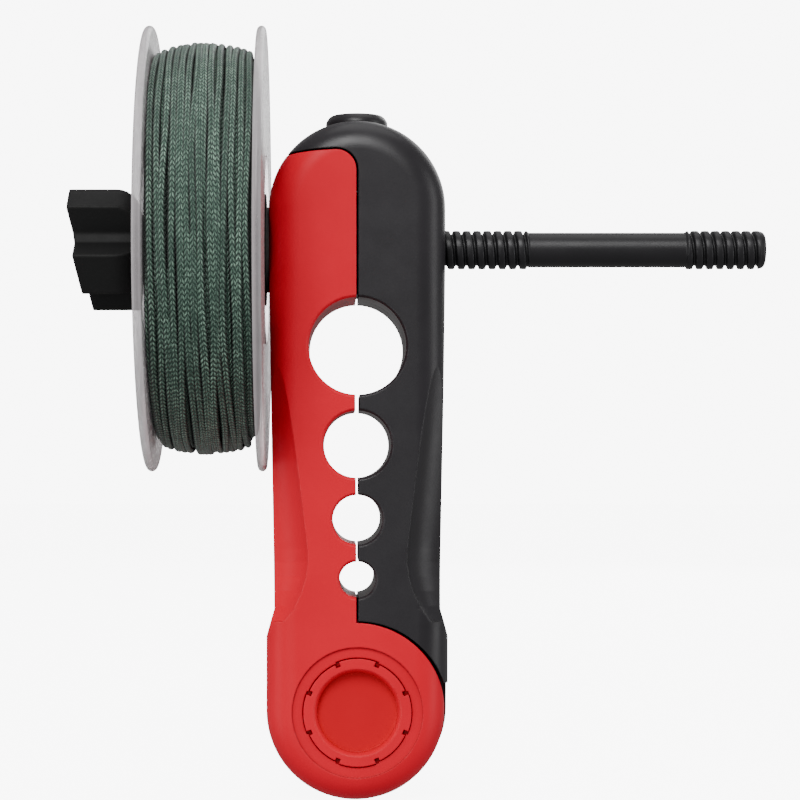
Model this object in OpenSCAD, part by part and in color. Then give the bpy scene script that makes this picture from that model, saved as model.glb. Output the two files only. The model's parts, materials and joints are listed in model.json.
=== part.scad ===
// Rod-clamp line spooler: two hinged jaws with four rod holes, a spool of braided line
// on a short axle with a wing nut, and a long threaded axle on the other side.
// Origin: axis of the largest rod hole at mid-thickness. +X to the long axle, +Z up.

/* [Body] */
// Thickness of the jaws, front to back
body_t = 32; // [30:0.5:34]
// Radius of the round top
dome_r = 20.3; // [20:0.1:21]
// Height of the round top's centre
dome_z = 31.7; // [31.5:0.1:33]
// Radius of the bottom discs
disc_r = 20.85; // [20.6:0.05:21.2]
// Radius that rounds the long outer edges
edge_r = 7; // [5:0.5:8]
// Wall thickness of the shells
wall = 2.4; // [2:0.1:2.6]
// Inward lean of each side, in degrees
side_lean = 0.9; // [0.4:0.1:1]

/* [Jaws] */
// Gap between the jaws where they meet
jaw_gap = 0.5; // [0.4:0.05:0.6]
// Lean of each gripping face away from the middle, in degrees
relief = 0.4; // [0:0.1:0.5]
// Height of the pivot axis
pivot_z = -83.5; // [-84:0.1:-83]
// Radius of the red jaw's top edge about the pivot
top_arc_r = 128.3; // [127:0.1:129]
// Rounding of the red jaw's top corner
corner_r = 4.6; // [4.2:0.1:5]
// How far the rear halves overlap behind the parting line
lap = 1.5; // [1:0.1:1.6]

/* [Rod holes] */
// Radius of the largest rod hole
hole_1_r = 11.1; // [11:0.05:11.2]
// Radius of the second rod hole
hole_2_r = 7.7; // [7.5:0.05:7.9]
// Radius of the third rod hole
hole_3_r = 5.65; // [5.5:0.05:5.8]
// Radius of the smallest rod hole
hole_4_r = 4.1; // [4:0.05:4.2]

/* [Axles] */
// Radius of both axles
axle_r = 4.05; // [4:0.01:4.06]
// Height of the axles
axle_z = 23.1; // [23:0.1:23.5]
// Radius over the thread crests
crest_r = 4.5; // [4.3:0.05:4.5]
// Radius at the thread roots
root_r = 3.65; // [3.5:0.05:3.8]
// Thread pitch
pitch = 2.4; // [2.2:0.1:2.6]
// Far end of the long axle
long_end = 95.2; // [90:0.1:100]

/* [Spool] */
// Radius of the spool's flanges
spool_r = 51.7; // [51:0.1:52]
// Middle of the spool's width
spool_x = -34.9; // [-35:0.1:-34.8]
// Width over both flanges
spool_w = 27.8; // [27.6:0.1:28]
// Radius of the winding at its crown
line_r = 48; // [40:0.5:48.5]

/* [Hidden] */
$fn = 64;
eps = 0.01;
half_t = body_t / 2;
pivot_clear = 0.2;          // gap round each bottom disc at its closest
disc_shift = 0.4;           // each disc's centre stands this far to its own side
lap_y = 0.3;                // each disc's face stands this far from the mid-plane
disc_rim = disc_r - disc_shift;
lean_z = 22;                // the sides lean in below this height
waist_r = 19;               // half-width just above the flare
flare_z = -66.5;            // where the flare meets the full width
flare_h = 6.5;
flare_deg = atan((disc_r - waist_r) / flare_h);
hole_z = [0, -22.4, -39.6, -53.2];
hole_r = [hole_1_r, hole_2_r, hole_3_r, hole_4_r];
mouth = 0.5;                // chamfer at the mouth of each rod hole
band_low = -57.5;           // the see-through slit runs between these heights
band_high = 12.2;
tip_z = -77;                // lowest point of the shells beside the discs
scoop_r = 12;
scoop_end = [22.76, -19.56, -47.5];
scoop_curve = 20;           // how the lower end curves out: drop = length^2 / (2 * scoop_curve)
scoop_step = 3.2;
scoop_tilt = 6.64;
scoop_turn = -36.5;
screw_at = [[11, -14.5], [11, 37], [10, -58.5]];
screw_boss_r = 3.2;
saddle_x = [4, 21];
saddle_h = 17;
head_x = 6.5;               // inner face of each axle's square head
head_t = 3;
head_w = 12;
cap_r = 12.3;
cap_step = 0.35;            // how far the cap's rim steps in over every other sector
cap_gap = 0.22;
cap_seat = 1.3;
plug_r = 11.3;
cap_depth = 3.6;
sink_r = 14.9;
sink_depth = 0.5;
bolt_r = 4;
spring_pocket_r = 10.4;
button_r = 7.2;
button_floor = 47.7;
button_stroke = 1.8;
button_top = 54.8;
window = [[-5.6, 3], [33.8, 37]];
leaf_screw = [10.5, -2.2];
leaf_t = 0.6;
spool_in = spool_x + spool_w / 2;
flange_t = 2;
hub_r = 24;
cone_slope = 4.4 / 6.6;
nut_r = 13.4;
nut_end = -64.4;            // where the nut's slanted end crosses its axis
nut_slant = 9.5;

// ---- helpers ----

// A flat outline in X and Z, extruded from y0 to y1
module slab(y0, y1) {
    translate([0, y1, 0]) rotate([90, 0, 0]) linear_extrude(y1 - y0) children();
}

module y_rod(r, y0, y1, x = 0, z = 0) {
    translate([x, y1, z]) rotate([90, 0, 0]) cylinder(r = r, h = y1 - y0);
}

module x_rod(r, x0, x1, z = axle_z) {
    translate([x0, 0, z]) rotate([0, 90, 0]) cylinder(r = r, h = x1 - x0);
}

module z_rod(r, z0, z1, x = 0, y = 0) {
    translate([x, y, z0]) cylinder(r = r, h = z1 - z0);
}

// A turned shape about the axles' line; its outline is [radius, x]
module x_turn() {
    translate([0, 0, axle_z]) rotate([0, 90, 0]) rotate_extrude() children();
}

// The same, mirrored about the middle of the spool
module x_turn_mirrored() {
    translate([2 * spool_x, 0, 0]) mirror([1, 0, 0]) x_turn() children();
}

// A box from its low corner to its high corner
module block(low, high) {
    translate(low) cube(high - low);
}

// A round wire along a path, with rings kept square to it
function unit(v) = v / norm(v);
function path_dir(p, i) = unit(p[min(i + 1, len(p) - 1)] - p[max(i - 1, 0)]);
function ring_points(p, i, r, sides) =
    let (t = path_dir(p, i), n = unit(cross(t, [0, 0, 1])), b = cross(n, t))
    [for (k = [0 : sides - 1]) p[i] + r * (cos(360 * k / sides) * n + sin(360 * k / sides) * b)];
function helix(mean_r, length, turns, steps) =
    [for (i = [0 : turns * steps])
        [mean_r * cos(360 * i / steps), mean_r * sin(360 * i / steps), length * i / (turns * steps)]];

module wire(p, r, sides = 8) {
    rings = len(p);
    points = [for (i = [0 : rings - 1]) each ring_points(p, i, r, sides)];
    walls = [for (i = [0 : rings - 2], k = [0 : sides - 1])
        let (m = (k + 1) % sides)
        [i * sides + k, i * sides + m, (i + 1) * sides + m, (i + 1) * sides + k]];
    start = [[for (k = [sides - 1 : -1 : 0]) k]];
    end = [[for (k = [0 : sides - 1]) (rings - 1) * sides + k]];
    polyhedron(points = points, faces = concat(walls, start, end), convexity = 6);
}

// ---- the outer form of both jaws ----

module rounded_section(half_w, inset) {
    r = edge_r - inset;
    w = half_w - inset;
    t = half_t - inset;
    square([2 * (w - r), 2 * t], center = true);
    square([2 * w, 2 * (t - r)], center = true);
    for (sx = [-1, 1], sy = [-1, 1])
        translate([sx * (w - r), sy * (t - r)]) circle(r = r);
}

module round_form(radius, z, inset) {
    translate([0, 0, z]) rotate([-90, 0, 0]) rotate_extrude() intersection() {
        rounded_section(radius, inset);
        translate([0, -half_t]) square([radius, body_t]);
    }
}

// The straight sides lean in towards the waist
module stem(inset) {
    difference() {
        translate([0, 0, flare_z]) linear_extrude(dome_z - flare_z) rounded_section(dome_r, inset);
        for (side = [0, 1])
            mirror([side, 0, 0]) translate([dome_r - inset, -50, lean_z]) rotate([0, 180 + side_lean, 0])
                translate([-20, 0, 0]) cube([20, 100, 120]);
    }
}

module collar(inset) {
    difference() {
        translate([0, 0, pivot_z]) linear_extrude(flare_z + flare_h - pivot_z)
            rounded_section(disc_r, inset);
        for (side = [0, 1])
            mirror([side, 0, 0]) translate([disc_r, 0, flare_z]) rotate([0, -flare_deg, 0])
                translate([-inset, -50, -5]) cube([20, 100, 30]);
    }
}

function scoop_at(i) = scoop_r - pow(i * scoop_step, 2) / (2 * scoop_curve);

// Thumb scoops run down the four outer corners and taper out above the flare
module scoops(inset) {
    for (sx = [0, 1], sy = [0, 1])
        mirror([sx, 0, 0]) mirror([0, sy, 0]) translate(scoop_end) rotate([0, scoop_tilt, scoop_turn]) {
            cylinder(r = scoop_r + inset, h = 60);
            for (i = [0 : 4])
                translate([0, 0, -(i + 1) * scoop_step])
                    cylinder(r1 = scoop_at(i + 1) + inset, r2 = scoop_at(i) + inset, h = scoop_step);
        }
}

module body_form(inset = 0) {
    difference() {
        union() {
            round_form(dome_r, dome_z, inset);
            stem(inset);
            collar(inset);
            round_form(disc_r, pivot_z, inset);
        }
        scoops(inset);
    }
}

// ---- outlines in X and Z ----

// The red side of the parting line, with its edge moved out by grow
module red_side(grow) {
    face_x = -jaw_gap / 2 + grow;
    arc_r = top_arc_r - corner_r;
    cx = -jaw_gap / 2 - corner_r;
    cz = pivot_z + sqrt(arc_r * arc_r - cx * cx);
    out = (top_arc_r + grow + 2) / arc_r;
    difference() {
        intersection() {
            translate([0, pivot_z]) circle(r = top_arc_r + grow, $fn = 256);
            translate([-60, -150]) square([60 + face_x, 250]);
        }
        polygon([
            [cx, cz], [cx * out, pivot_z + (cz - pivot_z) * out],
            [face_x + 2, pivot_z + (cz - pivot_z) * out], [face_x + 2, cz]
        ]);
    }
    translate([cx, cz]) circle(r = corner_r + grow);
}

module everywhere() {
    translate([-60, -150]) square([120, 250]);
}

module disc_area(r) {
    translate([0, pivot_z]) circle(r = r, $fn = 128);
}

// One jaw's bottom disc, from y0 to y1, with the rounded edges of the body; side is -1 or 1
module disc_form(side, y0, y1) {
    translate([side * disc_shift, 0, 0]) intersection() {
        union() {
            round_form(disc_rim, pivot_z, 0);
            translate([0, 0, pivot_z]) linear_extrude(flare_z + flare_h - pivot_z) rounded_section(disc_rim, 0);
        }
        slab(y0, y1) disc_area(disc_rim);
    }
}

module above_pivot() {
    translate([-60, pivot_z]) square([120, 200]);
}

module below_tips() {
    translate([-60, -150]) square([120, 150 + tip_z]);
}

// The rear halves meet further left than the front halves, except along the slit
module red_rear_side(grow) {
    red_side(grow - lap);
    intersection() {
        red_side(grow);
        translate([-60, band_low - grow]) square([120, band_high - band_low + 2 * grow]);
    }
}

// Walls round the rod holes, screws and axle head, left standing in each cavity
module kept_walls(side) {
    for (i = [0 : 3])
        translate([0, hole_z[i]]) circle(r = hole_r[i] + wall);
    for (p = screw_at)
        translate([side * p[0], p[1]]) circle(r = screw_boss_r);
    translate([side > 0 ? saddle_x[0] : -saddle_x[1], axle_z - saddle_h / 2])
        square([saddle_x[1] - saddle_x[0], saddle_h]);
}

module red_cavity_area() {
    difference() {
        red_side(-lap - wall);
        kept_walls(-1);
        disc_area(disc_r + pivot_clear + wall);
    }
}

module black_cavity_area() {
    difference() {
        everywhere();
        red_side(jaw_gap + wall);
        kept_walls(1);
        disc_area(disc_r + pivot_clear + wall);
    }
}

// ---- cuts shared by the shells ----

module rod_holes() {
    for (i = [0 : 3]) {
        y_rod(hole_r[i], -half_t - 1, half_t + 1, 0, hole_z[i]);
        for (s = [0, 1])
            mirror([0, s, 0]) translate([0, -half_t + mouth, hole_z[i]]) rotate([90, 0, 0])
                cylinder(r1 = hole_r[i], r2 = hole_r[i] + 2 * mouth, h = 2 * mouth);
    }
}

// The gripping faces lean apart by a small angle from the pivot
module slit() {
    low_w = (band_low - pivot_z) * tan(relief);
    high_w = -pivot_z * tan(relief);
    slab(-half_t - 1, half_t + 1)
        polygon([[-low_w, band_low], [low_w, band_low], [high_w, 0], [-high_w, 0]]);
}

module axle_seat() {
    gap = 0.15;
    x_rod(axle_r + 0.06, head_x - 1, 30);
    x_rod(6.2, dome_r - 0.8, 30);
    block([head_x - gap, -head_w / 2 - gap, axle_z - head_w / 2 - gap],
        [head_x + head_t + gap, head_w / 2 + gap, axle_z + head_w / 2 + gap]);
}

module latch_window() {
    block([window[0][0], -4.8, window[1][0]], [window[0][1], 4.8, window[1][1]]);
}

module screw_pilots() {
    for (p = screw_at)
        y_rod(1.5, -half_t + wall, 1, p[0], p[1]);
}

module screw_clearance() {
    for (p = screw_at) {
        y_rod(1.8, -1, half_t + 1, p[0], p[1]);
        y_rod(3.1, half_t - 3, half_t + 1, p[0], p[1]);
    }
}

// The rim of a pivot cap about the pivot axis, with its edge moved out by grow
module cap_rim(grow, y0, y1) {
    y_rod(cap_r - cap_step + grow, y0, y1);
    for (k = [0 : 3])
        intersection() {
            y_rod(cap_r + grow, y0, y1);
            rotate([0, 90 * k, 0]) slab(y0, y1)
                polygon([
                    [5, 5 * tan(22.5) + grow], [14, 14 * tan(22.5) + grow],
                    [14, -14 * tan(22.5) - grow], [5, -5 * tan(22.5) - grow]
                ]);
        }
}

// Bores, pockets and coring of a bottom disc; drawn for the front one
module knuckle_cuts() {
    translate([0, 0, pivot_z]) {
        y_rod(sink_r, -half_t - 1, -half_t + sink_depth);
        cap_rim(cap_gap, -half_t - 1, -half_t + cap_seat);
        y_rod(plug_r + 0.05, -half_t, -half_t + cap_depth);
        y_rod(bolt_r + 0.06, -half_t, 1);
        y_rod(8, -half_t, -9.4);
        y_rod(spring_pocket_r, -7, 1);
        difference() {
            y_rod(17.6, -11.8, 1);
            y_rod(13, -12, 2);
            for (a = [30, 90, 150])
                rotate([0, a, 0]) block([-20, -12, -0.9], [20, 2, 0.9]);
        }
        block([-15, -7, -2.2], [0, 1, 2.2]);
    }
}

// ---- red jaw ----

module red_front_shell() {
    color([0.82, 0.12, 0.12]) difference() {
        union() {
            difference() {
                intersection() {
                    body_form();
                    slab(-half_t, 0) intersection() {
                        red_side(0);
                        above_pivot();
                    }
                }
                slab(-lap_y, 1) disc_area(disc_r + pivot_clear);
            }
            disc_form(-1, -half_t, -lap_y);
        }
        intersection() {
            body_form(wall);
            slab(-half_t, 1) red_cavity_area();
        }
        rod_holes();
        slit();
        knuckle_cuts();
        latch_window();
        mirror([1, 0, 0]) axle_seat();
        mirror([1, 0, 0]) screw_pilots();
    }
}

module red_back_shell() {
    color([0.75, 0.1, 0.1]) difference() {
        intersection() {
            body_form();
            slab(0, half_t) difference() {
                red_rear_side(0);
                disc_area(disc_r + pivot_clear);
                below_tips();
            }
        }
        intersection() {
            body_form(wall);
            slab(-1, half_t) red_cavity_area();
        }
        rod_holes();
        slit();
        latch_window();
        mirror([1, 0, 0]) axle_seat();
        mirror([1, 0, 0]) screw_clearance();
    }
}

module shell_screws() {
    for (p = screw_at) {
        difference() {
            union() {
                y_rod(1.45, -11, half_t - 3, p[0], p[1]);
                y_rod(2.8, half_t - 3, half_t - 1, p[0], p[1]);
            }
            for (a = [0, 90])
                translate([p[0], half_t - 1, p[1]]) rotate([0, a, 0]) cube([3.4, 1.6, 0.7], center = true);
        }
    }
}

module red_shell_screws() {
    color("silver") mirror([1, 0, 0]) shell_screws();
}

// ---- black jaw ----

module black_front_shell() {
    color([0.22, 0.21, 0.23]) difference() {
        intersection() {
            body_form();
            slab(-half_t, 0) difference() {
                everywhere();
                red_side(jaw_gap);
                disc_area(disc_r);
                below_tips();
            }
        }
        intersection() {
            body_form(wall);
            slab(-half_t, 1) black_cavity_area();
        }
        rod_holes();
        slit();
        latch_window();
        z_rod(button_r + 0.2, button_floor, 60);
        z_rod(1.15, axle_z + saddle_h / 2 - 2.4, axle_z + saddle_h / 2 + 1, leaf_screw[0], leaf_screw[1]);
        axle_seat();
        screw_pilots();
    }
}

module black_back_shell() {
    color([0.17, 0.16, 0.18]) difference() {
        union() {
            difference() {
                intersection() {
                    body_form();
                    slab(0, half_t) difference() {
                        above_pivot();
                        red_rear_side(jaw_gap);
                    }
                }
                slab(-1, lap_y) disc_area(disc_r + pivot_clear);
            }
            disc_form(1, lap_y, half_t);
        }
        intersection() {
            body_form(wall);
            slab(-1, half_t) black_cavity_area();
        }
        rod_holes();
        slit();
        mirror([0, 1, 0]) knuckle_cuts();
        latch_window();
        z_rod(button_r + 0.2, button_floor, 60);
        axle_seat();
        screw_clearance();
    }
}

module black_shell_screws() {
    color("silver") shell_screws();
}

// ---- pivot ----

// A spanner cap: its rim steps in and out between eight notches, round a dished middle
module pivot_cap() {
    top = -half_t + 0.05;
    rim_low = -half_t + cap_seat - 0.05;
    low = -half_t + cap_depth - 0.05;
    lip = 0.8;
    dish_r = 9.2;
    dish_depth = 2.9;
    translate([0, 0, pivot_z]) difference() {
        union() {
            cap_rim(0, top, rim_low);
            y_rod(plug_r, rim_low - 0.5, low);
        }
        for (k = [0 : 7])
            rotate([0, 22.5 + 45 * k, 0]) block([cap_r - 1.1, top - 1, -0.55], [14, rim_low + 0.1, 0.55]);
        y_rod(dish_r, top - 1, top + dish_depth);
        translate([0, top - 1, 0]) rotate([-90, 0, 0]) {
            cylinder(r1 = dish_r + lip + 1, r2 = dish_r + lip / 2, h = 1 + lip / 2);
            cylinder(r1 = dish_r + 1.1, r2 = dish_r, h = 2.2);
        }
    }
}

module pivot_cap_front() {
    color([0.85, 0.15, 0.15]) pivot_cap();
}

module pivot_cap_back() {
    color([0.2, 0.19, 0.21]) mirror([0, 1, 0]) pivot_cap();
}

module pivot_bolt() {
    color("silver") translate([0, 0, pivot_z]) {
        y_rod(6.4, -12.2, -9.45);
        y_rod(bolt_r, -9.5, 12.3);
    }
}

module pivot_nut() {
    color("silver") translate([0, 0, pivot_z]) difference() {
        translate([0, 12.3, 0]) rotate([90, 0, 0]) cylinder(r = 6.35, h = 2.3, $fn = 6);
        y_rod(bolt_r, 9, 13);
    }
}

module pivot_washers() {
    color("gainsboro") translate([0, 0, pivot_z]) {
        difference() {
            y_rod(12.7, -0.25, 0.25);
            y_rod(10.6, -1, 1);
        }
        difference() {
            y_rod(7.4, 9.45, 9.95);
            y_rod(bolt_r + 0.1, 9, 11);
        }
    }
}

module torsion_spring() {
    turns = 5;
    steps = 16;
    coil_r = 7.6;
    reach = 12.4;
    length = 11.6;
    coil = helix(coil_r, length, turns, steps);
    leg_1 = [[reach, -1.2, 0], [coil_r + 1, -0.9, 0]];
    leg_2 = [[coil_r + 1, 0.9, length], [reach, 1.2, length]];
    color("darkgray") translate([0, length / 2, pivot_z]) rotate([90, 0, 0]) mirror([1, 0, 0])
        wire(concat(leg_1, coil, leg_2), 0.7);
}

// ---- latch ----

module latch_button() {
    crown_r = 34;
    shoulder = button_top - 3;
    under = button_floor + button_stroke + 0.2;
    color([0.16, 0.18, 0.17]) difference() {
        union() {
            z_rod(button_r, under, shoulder);
            intersection() {
                rotate_extrude() polygon([
                    [0, shoulder - 1], [button_r, shoulder - 1], [button_r, shoulder + 0.8], [6.95, shoulder + 1.4],
                    [6.4, shoulder + 2.1], [5.5, button_top - 0.25], [5.5, button_top], [0, button_top]
                ]);
                translate([0, 0, button_top - crown_r]) sphere(r = crown_r);
            }
            block([3, -2.5, 36.75], [5.4, 2.5, under + 1]);
            block([5.2, -2.5, 46.2], [8, 2.5, 47.4]);
            block([5.2, -2.5, 46.2], [6.2, 2.5, under + 1]);
        }
        z_rod(2.9, under - 1, 52.4, -3.4);
    }
}

module button_spring() {
    color("darkgray") translate([-3.4, 0, button_floor + 0.35])
        wire(helix(2.2, 4, 4, 14), 0.3, 6);
}

// A bent strip: a screwed foot, a short riser and an arm whose end hooks behind the red wall
module latch_leaf() {
    thick = leaf_t;
    foot_z = axle_z + saddle_h / 2 + 0.05;
    arm_z = 36.7;
    hook_x = window[0][0] - 0.2;
    color("silver") difference() {
        slab(-4, 4) union() {
            translate([6.2, foot_z]) square([8, thick]);
            translate([5.6, foot_z]) square([thick, arm_z - foot_z]);
            translate([hook_x - thick, arm_z - thick]) square([6.2 - hook_x + thick, thick]);
            translate([hook_x - thick, arm_z - thick]) square([thick, 2]);
        }
        z_rod(1.3, foot_z - 1, foot_z + 2, leaf_screw[0], leaf_screw[1]);
    }
}

module latch_leaf_screw() {
    foot_top = axle_z + saddle_h / 2 + 0.05 + leaf_t;
    color("silver") difference() {
        union() {
            z_rod(2, foot_top, foot_top + 1.2, leaf_screw[0], leaf_screw[1]);
            z_rod(1.1, foot_top - 2.7, foot_top + eps, leaf_screw[0], leaf_screw[1]);
        }
        translate([leaf_screw[0], leaf_screw[1], foot_top + 1.2]) cube([0.6, 5, 1], center = true);
    }
}

// ---- axles ----

// One thread zone as even ribs between two places on the axle
module thread_zone(x0, x1) {
    count = floor((x1 - x0) / pitch);
    depth = crest_r - root_r;
    x_turn() difference() {
        translate([0, x0]) square([crest_r, x1 - x0]);
        for (i = [0 : count - 1])
            translate([0, x0 + (i + 1) * pitch])
                polygon([
                    [root_r, -0.35], [crest_r + 0.1, -0.35 - depth / 2],
                    [crest_r + 0.1, 0.35 + depth / 2], [root_r, 0.35]
                ]);
    }
}

module square_head() {
    block([head_x, -head_w / 2, axle_z - head_w / 2], [head_x + head_t, head_w / 2, axle_z + head_w / 2]);
}

module short_axle() {
    color([0.25, 0.25, 0.27]) mirror([1, 0, 0]) {
        square_head();
        x_rod(axle_r, head_x + 1, 46);
        thread_zone(45.9, 58.6);
        x_turn() translate([0, 58.6]) polygon([[0, -1], [root_r, -1], [root_r, 0], [root_r - 1, 1], [0, 1]]);
    }
}

module long_axle() {
    smooth = [40.3, 76.4];
    color([0.2, 0.2, 0.21]) {
        square_head();
        x_rod(axle_r, head_x + 1, 20.4);
        thread_zone(20.3, smooth[0]);
        x_rod(axle_r, smooth[0] - eps, smooth[1] + eps);
        thread_zone(smooth[1], long_end - 1);
        x_turn() translate([0, long_end - 1])
            polygon([[0, -0.1], [crest_r, -0.1], [crest_r, 0], [crest_r - 1, 1], [0, 1]]);
    }
}

// ---- spool ----

module spool_half_outline() {
    face = spool_in - flange_t;
    seat = spool_in - 5;
    bore = 8.91;
    polygon([
        [hub_r - 2, spool_x], [hub_r, spool_x], [hub_r, face], [spool_r - 1, face], [spool_r - 1, spool_in],
        [hub_r - 2, spool_in], [hub_r - 2, seat], [bore, seat], [bore - 2 * cone_slope, seat - 2],
        [hub_r - 2, seat - 2]
    ]);
    translate([spool_r - 1, spool_in - 1]) circle(r = 1);
}

module spool_inner_half() {
    color([0.85, 0.84, 0.86, 0.5]) x_turn() spool_half_outline();
}

module spool_outer_half() {
    color([0.85, 0.84, 0.86, 0.5]) x_turn_mirrored() spool_half_outline();
}

module line_winding() {
    sag = 2.5;
    half_w = spool_w / 2 - flange_t;
    crown = (half_w * half_w + sag * sag) / (2 * sag);
    color([0.16, 0.3, 0.24]) x_turn() intersection() {
        translate([hub_r + 0.05, spool_x - half_w + 0.03]) square([30, 2 * half_w - 0.06]);
        translate([line_r - crown, spool_x]) circle(r = crown, $fn = 128);
    }
}

// ---- brake, cones and wing nut ----

module brake_washer() {
    color([0.5, 0.45, 0.4]) x_turn() translate([axle_r + 0.3, -dome_r - 0.75]) square([5.6, 0.7]);
}

module cone_outline(bore) {
    back = -dome_r - 0.8;
    polygon([
        [bore, back], [13, back], [13, back - 1.5], [11, back - 1.5],
        [11 - 6.6 * cone_slope, back - 8.1], [bore, back - 8.1]
    ]);
}

module inner_cone() {
    color([0.18, 0.18, 0.2]) x_turn() cone_outline(axle_r + 0.05);
}

module outer_cone() {
    color([0.18, 0.18, 0.2]) x_turn_mirrored() cone_outline(crest_r + 0.1);
}

module drag_spring() {
    start = 2 * spool_x + dome_r + 0.8;
    color("darkgray") translate([start - 0.42, 0, axle_z]) rotate([0, -90, 0])
        wire(helix(5.8, 2.6, 3, 16), 0.4, 6);
}

// One wing in X and radius: a square tip with a rounded shoulder towards the spool
module wing_outline(shoulder) {
    far_x = -72;
    near_x = -49.6;
    round_r = 5.4;
    translate([far_x, 0]) square([near_x - far_x - 0.9, shoulder ? nut_r - round_r : nut_r]);
    if (shoulder) {
        translate([far_x, 0]) square([near_x - far_x - 0.9 - round_r, nut_r]);
        translate([near_x - 0.9 - round_r, nut_r - round_r]) circle(r = round_r);
    }
}

module wing_nut() {
    wing_t = 10;
    wing_turn = 30;
    color([0.12, 0.12, 0.13]) difference() {
        union() {
            x_rod(8.2, -72, -49.6);
            for (k = [0 : 3])
                translate([0, 0, axle_z]) rotate([wing_turn + 90 * k, 0, 0])
                    slab(-wing_t / 2, wing_t / 2) wing_outline(k != 2);
        }
        translate([nut_end, 0, axle_z]) rotate([0, -nut_slant, 0]) rotate([0, 0, -5])
            translate([-20, -30, -30]) cube([20, 60, 60]);
        x_rod(6.9, -52.1, -49);
        x_rod(6, -60.2, -49);
        x_rod(4.9, -61, -49);
    }
}

module wing_nut_insert() {
    color("goldenrod") difference() {
        x_rod(5.97, -60.15, -52.3);
        x_rod(crest_r + 0.1, -62, -50);
    }
}

red_front_shell();
red_back_shell();
red_shell_screws();
black_front_shell();
black_back_shell();
black_shell_screws();
pivot_cap_front();
pivot_cap_back();
pivot_bolt();
pivot_nut();
pivot_washers();
torsion_spring();
latch_button();
button_spring();
latch_leaf();
latch_leaf_screw();
short_axle();
long_axle();
brake_washer();
inner_cone();
spool_inner_half();
spool_outer_half();
line_winding();
outer_cone();
drag_spring();
wing_nut();
wing_nut_insert();
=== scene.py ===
import json
import math
import random

import bpy
import numpy as np
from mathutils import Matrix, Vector, noise


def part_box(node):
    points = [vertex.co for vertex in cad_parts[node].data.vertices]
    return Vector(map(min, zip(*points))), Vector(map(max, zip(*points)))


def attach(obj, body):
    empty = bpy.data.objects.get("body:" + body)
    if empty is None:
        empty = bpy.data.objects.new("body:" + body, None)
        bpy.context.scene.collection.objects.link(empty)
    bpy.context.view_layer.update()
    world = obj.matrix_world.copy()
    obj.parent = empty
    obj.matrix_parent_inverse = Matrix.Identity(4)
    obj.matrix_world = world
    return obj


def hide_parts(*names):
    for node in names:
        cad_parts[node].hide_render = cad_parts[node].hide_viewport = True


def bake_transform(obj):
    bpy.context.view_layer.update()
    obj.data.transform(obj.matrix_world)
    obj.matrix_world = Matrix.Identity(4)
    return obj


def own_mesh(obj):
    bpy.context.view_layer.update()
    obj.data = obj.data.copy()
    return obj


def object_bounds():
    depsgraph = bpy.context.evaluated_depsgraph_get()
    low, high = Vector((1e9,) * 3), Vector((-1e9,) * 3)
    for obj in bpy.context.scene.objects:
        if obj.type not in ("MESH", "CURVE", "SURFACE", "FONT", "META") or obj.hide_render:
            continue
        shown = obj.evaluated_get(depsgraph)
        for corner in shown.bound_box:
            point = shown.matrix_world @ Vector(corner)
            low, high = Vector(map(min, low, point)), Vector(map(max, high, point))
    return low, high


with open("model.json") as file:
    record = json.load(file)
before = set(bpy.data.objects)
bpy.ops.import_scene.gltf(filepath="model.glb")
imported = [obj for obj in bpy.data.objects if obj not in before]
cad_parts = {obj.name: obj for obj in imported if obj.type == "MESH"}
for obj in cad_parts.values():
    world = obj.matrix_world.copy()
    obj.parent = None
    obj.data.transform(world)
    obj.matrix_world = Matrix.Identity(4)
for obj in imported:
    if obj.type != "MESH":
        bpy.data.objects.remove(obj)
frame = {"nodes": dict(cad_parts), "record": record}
cad_low, cad_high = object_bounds()
scene = bpy.context.scene
MM = 0.001

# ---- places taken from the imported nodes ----

spool_low, spool_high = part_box("spool_inner_half")
outer_low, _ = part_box("spool_outer_half")
line_low, line_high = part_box("line_winding")
_, long_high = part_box("long_axle")
short_low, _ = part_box("short_axle")
cap_low, cap_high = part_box("pivot_cap_front")
AXLE_Z = (spool_low.z + spool_high.z) / 2
PIVOT_Z = (cap_low.z + cap_high.z) / 2
LINE_R = (line_high.z - line_low.z) / 2
SPOOL_X = (spool_high.x + outer_low.x) / 2

# How far the plastics look for a hollow to paint shade in, and the radius of the front cap's sunken floor,
# which is painted darker as shade
HOLLOW = 6 * MM
CAP_FLOOR_R = 9.6 * MM


# ---- material graphs ----

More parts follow.
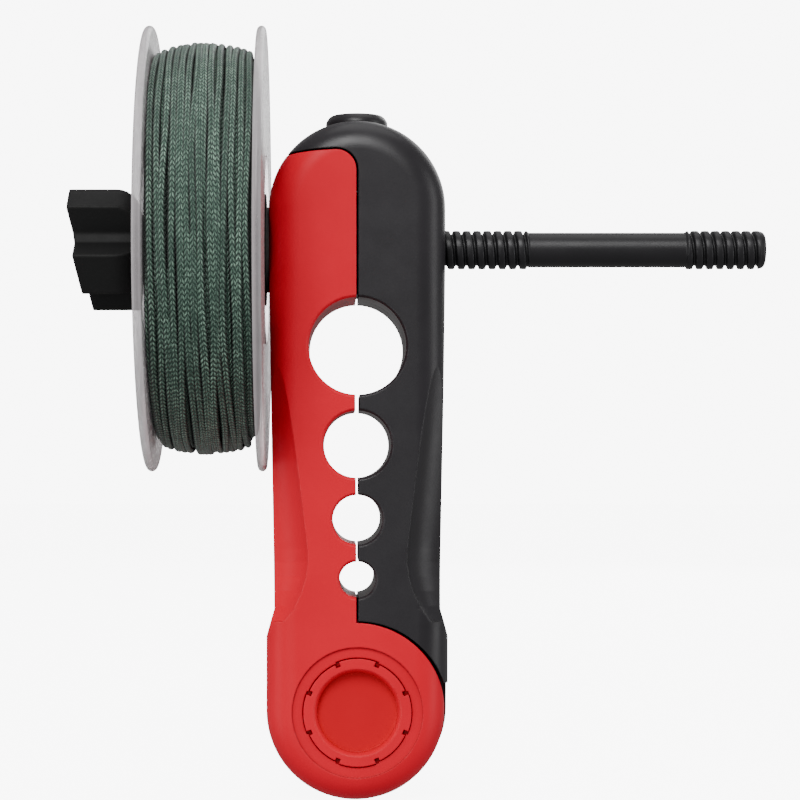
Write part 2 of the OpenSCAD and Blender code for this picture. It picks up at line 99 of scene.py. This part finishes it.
class Graph:
    """A material's nodes, with short calls for the ones used often."""

    def __init__(self, name):
        self.mat = bpy.data.materials.new(name)
        self.mat.use_nodes = True
        self.tree = self.mat.node_tree
        self.shader = self.tree.nodes["Principled BSDF"]
        self.output = self.tree.nodes["Material Output"]

    def node(self, kind, inputs=None, **props):
        made = self.tree.nodes.new(kind)
        for key, value in props.items():
            setattr(made, key, value)
        for key, value in (inputs or {}).items():
            self.put(made.inputs[key], value)
        return made

    def put(self, socket, value):
        if isinstance(value, bpy.types.NodeSocket):
            self.tree.links.new(value, socket)
        elif socket.type == "RGBA":
            socket.default_value = (*value, 1)
        else:
            socket.default_value = value

    def set(self, **values):
        for key, value in values.items():
            self.put(self.shader.inputs[key.replace("_", " ")], value)

    def place(self):
        return self.node("ShaderNodeTexCoord").outputs["Object"]

    def math(self, kind, a, b=0.0, clamp=False):
        return self.node("ShaderNodeMath", {0: a, 1: b}, operation=kind, use_clamp=clamp).outputs[0]

    def noise(self, scale, detail=2.0, rough=0.5, vector=None):
        return self.node("ShaderNodeTexNoise", {
            "Vector": vector or self.place(), "Scale": scale, "Detail": detail, "Roughness": rough,
        }).outputs["Fac"]

    def remap(self, value, low, high, to_low, to_high):
        return self.node("ShaderNodeMapRange", {
            "Value": value, "From Min": low, "From Max": high, "To Min": to_low, "To Max": to_high,
        }).outputs["Result"]

    def mix(self, fac, a, b):
        made = self.node("ShaderNodeMix", data_type="RGBA")
        self.put(made.inputs[0], fac)
        self.put(made.inputs[6], a)
        self.put(made.inputs[7], b)
        return made.outputs[2]

    def bump(self, height, distance, strength=1.0, normal=None):
        inputs = {"Height": height, "Distance": distance, "Strength": strength}
        if normal:
            inputs["Normal"] = normal
        return self.node("ShaderNodeBump", inputs).outputs["Normal"]

    def soft_edges(self, radius):
        """A normal rounded over the edges, and a mask that is 1 on them."""
        rounded = self.node("ShaderNodeBevel", {"Radius": radius}, samples=4).outputs["Normal"]
        flat = self.node("ShaderNodeNewGeometry").outputs["True Normal"]
        both = {0: rounded, 1: flat}
        dot = self.node("ShaderNodeVectorMath", both, operation="DOT_PRODUCT").outputs["Value"]
        return rounded, self.remap(dot, 0.995, 0.9, 0.0, 1.0)


def plastic(name, colour, deep, rubbed_highlight_colour, rough, edge=0.45 * MM, grain=0.012 * MM, rubbed_highlight_amount=0.5, spec=0.5, hollow_shade=0.6,
            floor=None):
    """Moulded plastic: a fine spark texture, faint flow marks, edges paled in spots as partly rubbing and
    partly a painted highlight, and painted shade in the hollows.

    floor is a darker red painted on the sunken floor of the front pivot cap, as painted shade in the recess.
    """
    g = Graph(name)
    normal, edges = g.soft_edges(edge)
    blotch = g.noise(55, 3)
    fine = g.noise(2600, 2, 0.6)
    flow = g.noise(140, 4, 0.65)
    base = g.mix(g.remap(blotch, 0.35, 0.7, 0.0, 0.6), colour, deep)
    base = g.mix(g.remap(fine, 0.3, 0.75, 0.0, 0.22), base, deep)
    # Paler edges in spots: partly rubbing, partly a painted highlight where the rounded edges catch the light
    rubbed_highlight_spots = g.remap(g.noise(420, 4, 0.7), 0.42, 0.66, 0.0, rubbed_highlight_amount)
    base = g.mix(g.math("MULTIPLY", edges, rubbed_highlight_spots, clamp=True), base, rubbed_highlight_colour)
    # Painted shade: the colour goes darker where the ambient occlusion finds a hollow
    open_sky = g.node("ShaderNodeAmbientOcclusion", {"Distance": HOLLOW}, samples=8).outputs["AO"]
    base = g.mix(g.remap(open_sky, 0.35, 0.95, 1.0, 0.0), base, tuple(c * hollow_shade for c in deep))
    # Painted shade: a darker red on the sunken floor of the front cap, inside CAP_FLOOR_R and deeper than the
    # cap's face
    if floor:
        spot = g.node("ShaderNodeSeparateXYZ", {0: g.place()})
        across = g.math("POWER", spot.outputs[0], 2.0)
        up = g.math("POWER", g.math("ADD", spot.outputs[2], -PIVOT_Z), 2.0)
        inside = g.math("LESS_THAN", g.math("SQRT", g.math("ADD", across, up)), CAP_FLOOR_R)
        recess_shade_mask = g.remap(spot.outputs[1], cap_low.y + 0.6 * MM, cap_low.y + 2.6 * MM, 0.0, 1.0)
        base = g.mix(g.math("MULTIPLY", inside, recess_shade_mask, clamp=True), base, floor)
    roughness = g.remap(flow, 0.25, 0.75, rough - 0.05, rough + 0.07)
    normal = g.bump(g.noise(32, 2), 0.05 * MM, 0.35, normal)
    normal = g.bump(fine, grain, 0.8, normal)
    g.set(Base_Color=base, Roughness=roughness, Normal=normal, Specular_IOR_Level=spec)
    return g.mat


def metal(name, colour, deep, rough, streak=(1, 1, 1), edge=0.12 * MM):
    """Plated or drawn metal, with streaks along one direction and dulled patches."""
    g = Graph(name)
    normal, _ = g.soft_edges(edge)
    lined = g.node("ShaderNodeVectorMath", {0: g.place(), 1: streak}, operation="MULTIPLY").outputs[0]
    lines = g.noise(1500, 3, 0.6, lined)
    patch = g.noise(260, 3, 0.6)
    g.set(
        Base_Color=g.mix(g.remap(patch, 0.35, 0.7, 0.0, 1.0), colour, deep),
        Roughness=g.remap(lines, 0.3, 0.7, rough - 0.08, rough + 0.12),
        Normal=g.bump(lines, 0.006 * MM, 0.6, normal),
        Metallic=1.0,
    )
    return g.mat


def clear_plastic(name):
    """Slightly milky clear plastic: it shows what is behind, and goes pale and glossy at a slant."""
    g = Graph(name)
    milk = g.noise(90, 3)
    scuffs = g.noise(700, 5, 0.75)
    g.set(
        Base_Color=g.mix(g.remap(milk, 0.3, 0.7, 0.0, 1.0), (0.60, 0.575, 0.585), (0.66, 0.615, 0.635)),
        Roughness=g.remap(scuffs, 0.35, 0.75, 0.14, 0.36),
        Normal=g.bump(scuffs, 0.01 * MM, 0.5),
        Specular_IOR_Level=0.6,
    )
    facing = g.node("ShaderNodeLayerWeight", {"Blend": 0.32}).outputs["Facing"]
    solid = g.remap(facing, 0.0, 0.7, 0.34, 0.92)
    solid = g.math("ADD", solid, g.remap(milk, 0.3, 0.7, -0.03, 0.04), clamp=True)
    clear = g.node("ShaderNodeBsdfTransparent", {"Color": (0.97, 0.955, 0.96)}).outputs[0]
    mixed = g.node("ShaderNodeMixShader", {0: solid, 1: clear, 2: g.shader.outputs[0]}).outputs[0]
    g.tree.links.new(mixed, g.output.inputs["Surface"])
    return g.mat


def braid(name):
    """Braided line: two sets of strands that meet in chevrons, from the piece's own UV map, with a painted
    highlight on the strand crowns and painted shade in the valleys and on the sides of each turn.

    U counts braid pitches along the line. V runs from -0.5 to 0.5 round it, with 0 on the outside.
    """
    g = Graph(name)
    uv = g.node("ShaderNodeUVMap", uv_map="braid").outputs["UV"]
    split = g.node("ShaderNodeSeparateXYZ", {0: uv})
    along, around = split.outputs[0], split.outputs[1]
    fray = g.remap(g.noise(900, 2), 0.3, 0.7, -0.12, 0.12)
    off = g.math("ABSOLUTE", g.math("ADD", around, g.math("MULTIPLY", fray, 0.15)))
    phase = g.math("FRACT", g.math("ADD", g.math("SUBTRACT", along, g.math("MULTIPLY", off, 5.4)), fray))
    ridge = g.math("SINE", g.math("MULTIPLY", phase, math.pi))
    seam = g.remap(off, 0.0, 0.045, 0.15, 1.0)
    height = g.math("MULTIPLY", g.math("POWER", ridge, 1.5), seam)
    fibre = g.noise(2200, 3, 0.7)
    shade = g.math("ADD", height, g.remap(fibre, 0.3, 0.7, -0.22, 0.22))
    tone = g.noise(70, 3)
    # The braid's strand pattern, with bright crowns as a painted highlight and dark valleys as painted shade
    base = g.mix(g.remap(shade, 0.15, 1.0, 0.0, 1.0), (0.003, 0.012, 0.008), (0.38, 0.60, 0.46))
    base = g.mix(g.remap(tone, 0.35, 0.65, 0.0, 0.3), base, (0.035, 0.085, 0.060))
    # Breaks the painted highlight into dashes along the strands
    highlight_breakup = g.noise(520, 3, 0.6)
    base = g.mix(g.remap(highlight_breakup, 0.42, 0.62, 0.55, 0.0), base, (0.016, 0.050, 0.035))
    line_place = g.node("ShaderNodeCombineXYZ", {0: along}).outputs[0]
    turn = g.noise(0.016, 2, 0.5, line_place)
    base = g.mix(g.remap(turn, 0.40, 0.60, 0.5, 0.0), base, (0.010, 0.036, 0.024))
    # Painted shade: the sides of each turn, where it meets its neighbours, go near black
    sides = g.remap(off, 0.085, 0.175, 0.0, 0.94)
    base = g.mix(sides, base, (0.003, 0.010, 0.007))
    g.set(
        Base_Color=base,
        Roughness=g.remap(fibre, 0.3, 0.7, 0.30, 0.52),
        Normal=g.bump(shade, 0.25 * MM, 0.9),
        Sheen_Weight=0.12,
        Sheen_Roughness=0.4,
    )
    return g.mat


def felt(name):
    """Dark pressed wool."""
    g = Graph(name)
    fluff = g.noise(1900, 5, 0.75)
    g.set(
        Base_Color=g.mix(g.remap(fluff, 0.3, 0.7, 0.0, 1.0), (0.03, 0.03, 0.03), (0.07, 0.068, 0.065)),
        Roughness=g.remap(fluff, 0.3, 0.7, 0.85, 0.98),
        Normal=g.bump(fluff, 0.12 * MM, 0.8),
        Sheen_Weight=0.4,
    )
    return g.mat


# In each plastic the third colour is the paler edge colour: partly rubbing, partly a painted highlight
MATERIALS = {
    "red_plastic": plastic(
        "red_abs", (0.79, 0.003, 0.024), (0.68, 0.002, 0.018), (0.90, 0.08, 0.09), 0.40,
        # The floor colour is painted shade for the front cap's recess
        spec=0.17, floor=(0.66, 0.0, 0.012)),
    "black_plastic": plastic(
        "black_abs", (0.0185, 0.0165, 0.0195), (0.0135, 0.012, 0.014), (0.09, 0.085, 0.09), 0.36, spec=0.38),
    "axle_plastic": plastic(
        "black_nylon", (0.013, 0.012, 0.014), (0.009, 0.009, 0.010), (0.06, 0.06, 0.065), 0.36,
        edge=0.2 * MM, spec=0.36),
    "nut_plastic": plastic(
        "black_moulding", (0.012, 0.012, 0.012), (0.009, 0.009, 0.009), (0.04, 0.04, 0.04), 0.55,
        edge=0.5 * MM, grain=0.02 * MM, spec=0.16),
    "clear_plastic": clear_plastic("milky_clear"),
    "braided_line": braid("braided_line"),
    "steel": metal("zinc_plate", (0.62, 0.62, 0.63), (0.5, 0.5, 0.49), 0.32),
    "spring_steel": metal("spring_wire", (0.42, 0.42, 0.44), (0.30, 0.30, 0.32), 0.28),
    "brass": metal("turned_brass", (0.75, 0.56, 0.26), (0.62, 0.44, 0.19), 0.3, (1, 0.2, 0.2)),
    "nylon": plastic(
        "natural_nylon", (0.72, 0.70, 0.64), (0.66, 0.64, 0.58), (0.8, 0.8, 0.76), 0.45, edge=0.15 * MM),
    "felt": felt("pressed_felt"),
}
slot_of = {part["node"]: part["material_slot"] for part in frame["record"]["subparts"]}
for name, obj in frame["nodes"].items():
    obj.data.materials.clear()
    obj.data.materials.append(MATERIALS[slot_of[name]])


# ---- mesh builders ----

def declare(obj, body, replaced):
    """Attaches a new piece to the body it moves with, and hides the CAD parts that it replaces.

    A piece that joins two bodies has no body here and is not attached.
    """
    if body:
        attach(obj, body)
    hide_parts(*replaced)
    return obj


def add_piece(name, verts, faces, body, slot, replaced, uvs=None):
    mesh = bpy.data.meshes.new(name)
    mesh.from_pydata([tuple(v) for v in verts], [], faces)
    mesh.polygons.foreach_set("use_smooth", [True] * len(mesh.polygons))
    if uvs is not None:
        layer = mesh.uv_layers.new(name="braid")
        layer.data.foreach_set("uv", np.asarray(uvs, np.float32).ravel())
    mesh.materials.append(MATERIALS[slot])
    mesh.validate()
    obj = bpy.data.objects.new(name, mesh)
    scene.collection.objects.link(obj)
    return declare(obj, body, replaced)


def grid_faces(rows, cols, start=0):
    """Quads between rows rings of cols points each, closed round each ring."""
    return [
        (start + i * cols + k, start + i * cols + (k + 1) % cols,
         start + (i + 1) * cols + (k + 1) % cols, start + (i + 1) * cols + k)
        for i in range(rows - 1) for k in range(cols)
    ]


def softened(name, node, body, voxel, rounds, slot):
    """A new piece on a CAD node's shape, with its edges rounded as moulding leaves them."""
    mesh = frame["nodes"][node].data.copy()
    mesh.name = name
    obj = bpy.data.objects.new(name, mesh)
    scene.collection.objects.link(obj)
    remesh = obj.modifiers.new("voxels", "REMESH")
    remesh.mode = "VOXEL"
    remesh.voxel_size = voxel
    remesh.use_smooth_shade = True
    smooth = obj.modifiers.new("rounding", "SMOOTH")
    smooth.factor = 0.5
    smooth.iterations = rounds
    graph = bpy.context.evaluated_depsgraph_get()
    done = bpy.data.meshes.new_from_object(obj.evaluated_get(graph), depsgraph=graph)
    obj.modifiers.clear()
    obj.data = done
    done.name = name
    done.materials.clear()
    done.materials.append(MATERIALS[slot])
    done.polygons.foreach_set("use_smooth", [True] * len(done.polygons))
    bpy.data.meshes.remove(mesh)
    return declare(obj, body, [node])


softened("wing_nut_soft", "wing_nut", "wing_nut", 0.3 * MM, 6, "nut_plastic")
softened("latch_button_soft", "latch_button", "latch_button", 0.22 * MM, 5, "black_plastic")


# ---- springs and the latch leaf, which on the real thing bend as the joints move ----

def wire(points, radius, sides=12):
    """A round wire along points in metres, with flat ends."""
    pts = [Vector(p) for p in points]
    verts = []
    side = None
    for i, p in enumerate(pts):
        along = (pts[min(i + 1, len(pts) - 1)] - pts[max(i - 1, 0)]).normalized()
        if side is None:
            side = along.orthogonal()
        side = (side - along * side.dot(along)).normalized()
        other = along.cross(side)
        for k in range(sides):
            a = 2 * math.pi * k / sides
            verts.append(p + radius * (math.cos(a) * side + math.sin(a) * other))
    faces = [f[::-1] for f in grid_faces(len(pts), sides)]
    faces.append(tuple(range(sides)))
    faces.append(tuple(range((len(pts) - 1) * sides, len(pts) * sides))[::-1])
    return verts, faces


def coil(radius, length, turns, steps=40):
    """Points of a coil that rises from the origin along Z."""
    count = int(turns * steps)
    return [(radius * math.cos(2 * math.pi * i / steps), radius * math.sin(2 * math.pi * i / steps),
             length * i / count) for i in range(count + 1)]


TWIST_WIRE_R, TWIST_R, TWIST_TURNS = 0.7 * MM, 7.6 * MM, 5
BUTTON_WIRE_R, BUTTON_COIL_R, BUTTON_TURNS = 0.3 * MM, 2.2 * MM, 4


def torsion_spring_wire():
    """The spring round the pivot bolt: one leg in each jaw, at opposite ends of the coil."""
    low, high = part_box("torsion_spring")
    leg_y = (high.y - low.y) / 2 - TWIST_WIRE_R
    # A leg from its end to the coil: the place along X, and the height under or over the pivot
    leg = [(low.x, 1.2 * MM), (-TWIST_R - 1.6 * MM, 1.0 * MM), (-TWIST_R - 0.5 * MM, 0.6 * MM)]
    path = [(x, leg_y, PIVOT_Z - h) for x, h in leg]
    path += [(-x, leg_y - z, PIVOT_Z + y) for x, y, z in coil(TWIST_R, 2 * leg_y, TWIST_TURNS)]
    path += [(x, -leg_y, PIVOT_Z + h) for x, h in reversed(leg)]
    spring = add_piece("torsion_spring_wire", *wire(path, TWIST_WIRE_R), None, "spring_steel",
                       ["torsion_spring"])
    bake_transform(spring)


def button_spring_wire():
    """The coil spring under the button, which on the real thing shortens as the button is pressed."""
    low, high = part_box("button_spring")
    centre_x, centre_y = (low.x + high.x) / 2, (low.y + high.y) / 2
    floor_z = low.z
    tall = high.z - floor_z - 2 * BUTTON_WIRE_R
    path = [(centre_x + x, centre_y + y, floor_z + BUTTON_WIRE_R + z)
            for x, y, z in coil(BUTTON_COIL_R, tall, BUTTON_TURNS)]
    spring = add_piece("button_spring_wire", *wire(path, BUTTON_WIRE_R, 10), "black_jaw", "spring_steel",
                       ["button_spring"])
    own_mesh(spring)


def latch_leaf_bent():
    """The latch strip with its edges rounded: on the real thing it is screwed to the black jaw and its free
    end follows the button.
    """
    leaf = softened("latch_leaf_bent", "latch_leaf", None, 0.12 * MM, 2, "spring_steel")
    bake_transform(leaf)


torsion_spring_wire()
button_spring_wire()
latch_leaf_bent()


# ---- threaded axles ----

# In mm, as in the CAD. FLANK and ROOT are shares of half a pitch.
PITCH, CREST_R, ROOT_R, AXLE_R = 2.4, 4.5, 3.66, 4.05
FLANK, ROOT = 0.17, 0.15
THREAD_STEP, BAR_STEP, AROUND = 0.17, 1.2, 48
END_BEND, END_RINGS = 1.25, 10
HEAD_HALF, HEAD_BEVEL, HEAD_LOW, HEAD_HIGH = 6.0, 0.5, -0.2, 2.95


def thread_height(phase):
    """Radius of the thread at a place across one pitch, 0 to 1."""
    d = abs(phase - 0.5) * 2
    crest = 1 - ROOT - 2 * FLANK
    if d > 1 - ROOT:
        return ROOT_R
    if d > crest:
        t = (1 - ROOT - d) / (2 * FLANK)
        return ROOT_R + (CREST_R - ROOT_R) * (t * t * (3 - 2 * t)) ** 0.8
    return CREST_R - 0.05 * (d / crest) ** 2


def zone_weight(x, low, high, fade):
    """1 inside a thread zone, falling to 0 over fade at each end."""
    return max(0.0, min(1.0, (x - low) / fade + 1.0, (high - x) / fade + 1.0))


def axle_radius(x, turn, zones):
    """Radius at a place along the axle and a share of a turn round it."""
    r = AXLE_R
    for low, high in zones:
        phase = ((x - low) / PITCH - turn) % 1.0
        r += (thread_height(phase) - AXLE_R) * zone_weight(x, low, high, 0.5)
    return r


def threaded_axle(name, node, zones, x0, x1, direction, body):
    """A moulded axle: a smooth bar, real helical threads, a rounded end and a square head.

    It runs from x0 out to x1 along +X or -X, which is what direction says, and zones are its threads.
    """
    verts = []

    def ring(x, radii):
        for k, r in enumerate(radii):
            a = direction * 2 * math.pi * k / AROUND
            verts.append((direction * x * MM, r * MM * math.cos(a), AXLE_Z + r * MM * math.sin(a)))

    x = x0
    while x < x1 - END_BEND - 0.05:
        ring(x, [axle_radius(x, k / AROUND, zones) for k in range(AROUND)])
        threaded = any(low - 1.5 < x < high + 1.5 for low, high in zones)
        x += THREAD_STEP if threaded else BAR_STEP
    face_r = CREST_R - 0.15 - END_BEND
    for i in range(END_RINGS + 1):
        t = i / END_RINGS * math.pi / 2
        ring(x1 - END_BEND + END_BEND * math.sin(t), [face_r + END_BEND * math.cos(t)] * AROUND)
    for share, down in ((0.82, 0.02), (0.74, 0.22), (0.35, 0.30)):
        ring(x1 - down, [face_r * share] * AROUND)

    head = len(verts)
    low, high = x0 + HEAD_LOW, x0 + HEAD_HIGH
    for x, h in ((low, HEAD_HALF - HEAD_BEVEL), (low + HEAD_BEVEL, HEAD_HALF),
                 (high - HEAD_BEVEL, HEAD_HALF), (high, HEAD_HALF - HEAD_BEVEL)):
        for sy, sz in ((-1, -1), (1, -1), (1, 1), (-1, 1)):
            verts.append((direction * x * MM, sy * h * MM, AXLE_Z + sz * h * MM))

    faces = grid_faces(head // AROUND, AROUND)
    faces += [tuple(range(AROUND))[::-1], tuple(range(head - AROUND, head))]
    faces += grid_faces(4, 4, head)
    faces += [(head + 3, head + 2, head + 1, head), (head + 12, head + 13, head + 14, head + 15)]
    if direction < 0:
        faces = [f[::-1] for f in faces]
    return add_piece(name, verts, faces, body, "axle_plastic", [node])


LONG_END = long_high.x / MM
SHORT_END = -short_low.x / MM
AXLE_START = 6.7
threaded_axle("long_axle_threaded", "long_axle", [(19.0, 39.6), (77.0, LONG_END - 0.9)],
              AXLE_START, LONG_END - 0.02, 1, "black_jaw")
threaded_axle("short_axle_threaded", "short_axle", [(46.3, SHORT_END - 1.6)],
              AXLE_START, SHORT_END - 0.02, -1, "red_jaw")


# ---- the winding ----

# In mm. BRAID_PITCH is one chevron of the braid, STRAND the line's radius and SAG the crown of the winding.
BRAID_PITCH = 1.22
STRAND = 0.79
SAG = 2.5
LINE_X = SPOOL_X / MM
HALF_W = (line_high.x - line_low.x) / 2 / MM - 0.05
CROWN_R = LINE_R / MM - 0.1
BEND_R = (HALF_W ** 2 + SAG ** 2) / (2 * SAG)
CORE_R, CORE_DEPTH, CORE_STEPS = 24.1, 2.6, 96
RING_W, RING_DEPTH, RING_STEPS = 1.5, 0.45, 4


def tube(path, radius, sides, squash):
    """A tube of line along points [x, r, angle] about the axle, in mm and radians.

    Its UV map runs along it and round it.
    """
    pts = np.array([(x, r * math.cos(a), r * math.sin(a)) for x, r, a in path])
    out = np.array([(0.0, math.cos(a), math.sin(a)) for _, _, a in path])
    along = np.gradient(pts, axis=0)
    along /= np.linalg.norm(along, axis=1)[:, None]
    out -= along * np.sum(out * along, axis=1)[:, None]
    out /= np.linalg.norm(out, axis=1)[:, None]
    side = np.cross(along, out)
    lengths = np.linalg.norm(np.diff(pts, axis=0), axis=1)
    run = np.concatenate([[0], np.cumsum(lengths)]) / BRAID_PITCH
    verts, uvs = [], []
    for i in range(len(pts)):
        for k in range(sides):
            f = 2 * math.pi * (k / sides - 0.5)
            p = pts[i] + radius * (squash * math.cos(f) * out[i] + math.sin(f) * side[i])
            verts.append((p[0] * MM, p[1] * MM, AXLE_Z + p[2] * MM))
    faces = grid_faces(len(pts), sides)
    for i in range(len(pts) - 1):
        for k in range(sides):
            v0, v1 = k / sides - 0.5, (k + 1) / sides - 0.5
            uvs += [(run[i], v0), (run[i], v1), (run[i + 1], v1), (run[i + 1], v0)]
    return verts, faces, uvs


def crown(x):
    """Outer radius of the winding at a place across the spool."""
    d = min(HALF_W, abs(x - LINE_X))
    return CROWN_R - BEND_R + math.sqrt(BEND_R ** 2 - d * d)


def wander(seed, a, turn, size):
    """A smooth drift of one turn, the same on each run."""
    return size * noise.noise(Vector((seed + turn * 1.7, 1.4 * math.cos(a), 1.4 * math.sin(a))))


def wound_layer(seed, pitch, down, per_turn, sides, way, start):
    """One layer of turns from wall to wall, with each turn drifting a little and both ends tucked under.

    down is the layer's depth, way its direction and start the angle it begins at.
    """
    edge = HALF_W - STRAND
    turns = 2 * edge / pitch
    path = []
    count = int(turns * per_turn)
    for i in range(count + 1):
        t = i / per_turn
        a = start + way * 2 * math.pi * t
        x = LINE_X + way * (-edge + t * pitch) + wander(seed, a, t, 0.95)
        x = max(LINE_X - edge, min(LINE_X + edge, x))
        r = crown(x) - STRAND - down + wander(seed + 90, a, t * 2.1, 0.28)
        near_end = min(i, count - i) / per_turn
        r -= 1.2 * max(0.0, 1 - near_end / 0.2)
        path.append((x, r, a))
    return tube(path, STRAND, sides, 0.93)


def crossing(seed, x0, x1, a0, sweep, lift=0.1):
    """A turn that lies slantwise over the others and dives between them at both ends."""
    path = []
    count = 150
    for i in range(count + 1):
        t = i / count
        ease = t * t * (3 - 2 * t)
        x = x0 + (x1 - x0) * ease + wander(seed, t * 6, 0, 0.2)
        dive = max(0.0, 1 - min(t, 1 - t) / 0.12)
        path.append((x, crown(x) - STRAND + lift * (1 - dive) - 1.3 * dive, a0 + sweep * t))
    return tube(path, STRAND * 0.96, 8, 0.85)


def packed_core():
    """The turns below the surface: rings of line against each flange, seen through it, and a middle painted
    near black as the shade between the turns above.
    """
    rings = int((crown(LINE_X + HALF_W) - 1.6 - CORE_R) / RING_W)
    profile = []
    for j in range(rings):
        for q in range(RING_STEPS):
            t = q / RING_STEPS
            out = HALF_W - RING_DEPTH * (1 - math.sin(math.pi * t))
            profile.append((out, CORE_R + (j + t) * RING_W, j + t))
    across = []
    for k in range(11):
        x = LINE_X + HALF_W * (1 - 2 * k / 10) * 0.93
        across.append((x, crown(x) - CORE_DEPTH, 0.0))
    shoulder = (LINE_X + HALF_W - RING_DEPTH, min(CORE_R + rings * RING_W, across[0][1]), 0.0)
    points = [(LINE_X + d, r, v) for d, r, v in profile] + [shoulder] + across
    points += [(LINE_X - d, r, v) for d, r, v in reversed(profile)]

    verts, uvs = [], []
    for x, r, _ in points:
        for k in range(CORE_STEPS):
            a = 2 * math.pi * k / CORE_STEPS
            rr = r + wander(7, a, r * 0.6, 0.1)
            verts.append((x * MM, rr * MM * math.cos(a), AXLE_Z + rr * MM * math.sin(a)))
    last = (len(points) - 1) * CORE_STEPS
    faces = grid_faces(len(points), CORE_STEPS)
    faces += [(last + k, last + (k + 1) % CORE_STEPS, (k + 1) % CORE_STEPS, k) for k in range(CORE_STEPS)]
    for i, (_, r, place) in enumerate(points):
        v0 = place % 1.0 - 0.5
        v1 = v0 + 1 / RING_STEPS if i < len(points) - 1 else v0
        around = 2 * math.pi * r / BRAID_PITCH / CORE_STEPS
        for k in range(CORE_STEPS):
            uvs += [(k * around, v0), ((k + 1) * around, v0), ((k + 1) * around, v1), (k * around, v1)]
    return verts, faces, uvs


def merged(parts):
    """One mesh from several."""
    verts, faces, uvs = [], [], []
    for v, f, u in parts:
        start = len(verts)
        verts += v
        faces += [tuple(i + start for i in face) for face in f]
        uvs += u
    return verts, faces, uvs


rng = random.Random(11)
parts = [packed_core(), wound_layer(3, 1.62, 0.0, 150, 10, 1, 0.7), wound_layer(8, 1.7, 1.35, 96, 8, -1, 2.1)]
for n in range(9):
    from_x = LINE_X + rng.uniform(-0.7, 0.5) * HALF_W
    to_x = from_x + rng.uniform(2.0, 4.2)
    start = rng.uniform(0, 6.28)
    parts.append(crossing(20 + n, from_x, to_x, start, rng.uniform(3.0, 4.6)))
verts, faces, uvs = merged(parts)
add_piece("line_turns", verts, faces, "spool", "braided_line", ["line_winding"], uvs)


# ---- floor, light and camera ----

STAGE_R = 5.0
FLOOR_Z = cad_low.z - 0.0002


def pale(name, glow):
    """A pale matt studio surface, lit from itself so that it stays even."""
    g = Graph(name)
    mottle = g.noise(3, 2)
    g.set(
        Base_Color=g.mix(g.remap(mottle, 0.3, 0.7, 0.0, 1.0), (0.86, 0.86, 0.86), (0.84, 0.84, 0.845)),
        Roughness=0.9,
        Emission_Color=(1.0, 1.0, 1.0),
        Emission_Strength=glow,
    )
    g.mat.cycles.emission_sampling = "NONE"
    return g.mat


def stage_piece(name, verts, faces, mat):
    """A part of the studio, which the camera sees and the object doesn't."""
    mesh = bpy.data.meshes.new(name)
    mesh.from_pydata(verts, [], faces)
    mesh.materials.append(mat)
    obj = bpy.data.objects.new(name, mesh)
    scene.collection.objects.link(obj)
    obj.visible_diffuse = False
    obj.visible_glossy = False
    obj.visible_shadow = False


def circle(radius, z, steps):
    return [(radius * math.cos(2 * math.pi * k / steps), radius * math.sin(2 * math.pi * k / steps), z)
            for k in range(steps)]


def add_floor():
    steps = 96
    stage_piece("floor", circle(STAGE_R, FLOOR_Z, steps), [tuple(range(steps))], pale("pale_floor", 7.8))


def add_backdrop():
    """A far dome that closes the studio above the floor."""
    steps, rings = 64, 16
    verts = []
    for i in range(rings + 1):
        t = math.pi / 2 * i / rings
        verts += circle(STAGE_R * math.cos(t), FLOOR_Z + STAGE_R * math.sin(t), steps)
    faces = [f[::-1] for f in grid_faces(rings + 1, steps)]
    stage_piece("backdrop", verts, faces, pale("pale_backdrop", 8.0))


add_floor()
add_backdrop()

world = bpy.data.worlds.new("studio")
scene.world = world
world.use_nodes = True
world.node_tree.nodes["Background"].inputs["Color"].default_value = (1.0, 1.0, 1.0, 1)
world.node_tree.nodes["Background"].inputs["Strength"].default_value = 0.32


def softbox(name, place, size, power):
    """A rectangular light of size in metres that looks at the middle of the object."""
    data = bpy.data.lights.new(name, "AREA")
    data.shape = "RECTANGLE"
    data.size, data.size_y = size
    data.energy = power
    obj = bpy.data.objects.new(name, data)
    obj.location = place
    obj.rotation_mode = "QUATERNION"
    obj.rotation_quaternion = (Vector((0.0, 0.0, -0.02)) - Vector(place)).to_track_quat("-Z", "Y")
    scene.collection.objects.link(obj)


softbox("key", (-0.12, -1.05, 0.85), (0.7, 0.7), 15)
softbox("fill", (-0.5, -1.1, -0.1), (0.7, 0.9), 2.8)
softbox("left_edge", (-1.1, -0.35, 0.05), (0.5, 1.1), 4)
softbox("right_edge", (1.1, -0.30, 0.05), (0.5, 1.1), 4)
softbox("top", (0.1, 0.15, 1.1), (0.8, 0.8), 2.6)
softbox("back", (0.5, 1.1, 0.5), (0.9, 0.9), 5)

CAMERA_X, CAMERA_Z, DISTANCE = -6 * MM, -28 * MM, 0.6
camera = bpy.data.objects.new("camera", bpy.data.cameras.new("camera"))
camera.location = (CAMERA_X, -DISTANCE, CAMERA_Z)
camera.rotation_euler = (math.radians(90), 0, 0)
camera.data.sensor_width = 36
camera.data.lens = 115.6
camera.data.shift_x = 0.0862
camera.data.shift_y = 0.0861
camera.data.clip_start = 0.05
camera.data.clip_end = 20
scene.collection.objects.link(camera)
scene.camera = camera
